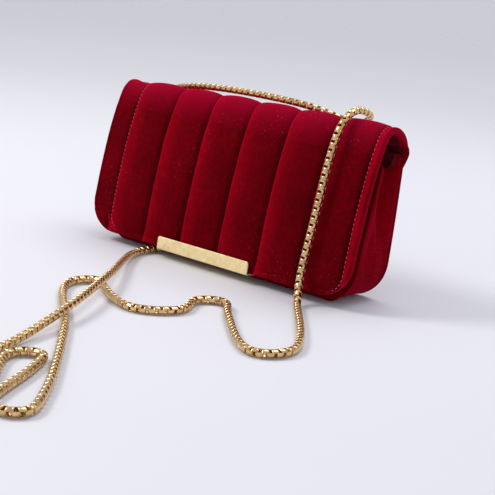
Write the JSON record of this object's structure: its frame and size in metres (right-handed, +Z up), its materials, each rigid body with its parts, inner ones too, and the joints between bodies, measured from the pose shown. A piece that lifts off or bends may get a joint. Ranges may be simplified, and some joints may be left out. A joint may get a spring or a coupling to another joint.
{
  "type": "clutch purse",
  "caption": "Velvet flap clutch purse with a channelled padded flap on a back hinge, gold edge bar, magnetic snap and box chain strap.",
  "frame": {"origin": "Bottom centre of the bag's box, without the chain strap; the bag stands on z = 0.", "axes": "+X along the bag's length to its right as seen from the front, +Y to the back, +Z up. The flap's gold bar faces -Y."},
  "size_m": [0.2928, 0.3608, 0.1265],
  "materials": {
    "velvet": "deep red cotton velvet, short pile with a crimson sheen",
    "lining": "wine red satin lining, plain weave",
    "board": "grey-brown stiffener board",
    "foam": "off-white polyester wadding",
    "gold": "pale gold plating, lightly brushed",
    "chain_gold": "antique gold plating, dark between the links",
    "magnet": "dark ferrite magnet"
  },
  "bodies": {
    "root": {"front_panel": "velvet", "front_board": "board", "front_lining": "lining", "back_panel": "velvet", "back_board": "board", "back_lining": "lining", "base_panel": "velvet", "base_board": "board", "base_lining": "lining", "left_gusset": "velvet", "left_gusset_lining": "lining", "right_gusset": "velvet", "right_gusset_lining": "lining", "slip_pocket": "lining", "snap_cup": "gold", "snap_magnet": "magnet", "left_ring_tab": "velvet", "right_ring_tab": "velvet", "chain_strap": "chain_gold"},
    "flap": {"flap_cover": "velvet", "flap_foam": "foam", "flap_board": "board", "flap_lining": "lining", "edge_bar": "gold", "snap_keeper": "gold"},
    "left_ring": {"left_ring": "gold", "left_clasp": "gold", "left_swivel": "gold"},
    "left_gate": {"left_clasp_gate": "gold"},
    "right_ring": {"right_ring": "gold", "right_clasp": "gold", "right_swivel": "gold"},
    "right_gate": {"right_clasp_gate": "gold"}
  },
  "joints": [
    {"name": "flap_hinge", "type": "hinge", "parent": "root", "child": "flap", "pos_m": [0, 0.0292, 0.099], "axis": [-1, 0, 0], "range_deg": [0, 180], "deforming": ["chain_strap"]},
    {"name": "left_ring_swing", "type": "hinge", "parent": "root", "child": "left_ring", "pos_m": [-0.08, 0.0188, 0.0965], "axis": [0, 0, 1], "range_deg": [0, 40], "deforming": ["chain_strap"]},
    {"name": "left_gate_spring", "type": "hinge", "parent": "left_ring", "child": "left_gate", "pos_m": [-0.0995, 0.01685, 0.0965], "axis": [0, 0, 1], "range_deg": [0, 25], "stiffness_Nm_per_rad": 0.00005},
    {"name": "right_ring_swing", "type": "hinge", "parent": "root", "child": "right_ring", "pos_m": [0.086, 0.0188, 0.0965], "axis": [0, 0, 1], "range_deg": [0, 40], "deforming": ["chain_strap"]},
    {"name": "right_gate_spring", "type": "hinge", "parent": "right_ring", "child": "right_gate", "pos_m": [0.0665, 0.01685, 0.0965], "axis": [0, 0, 1], "range_deg": [0, 25], "stiffness_Nm_per_rad": 0.00005}
  ]
}
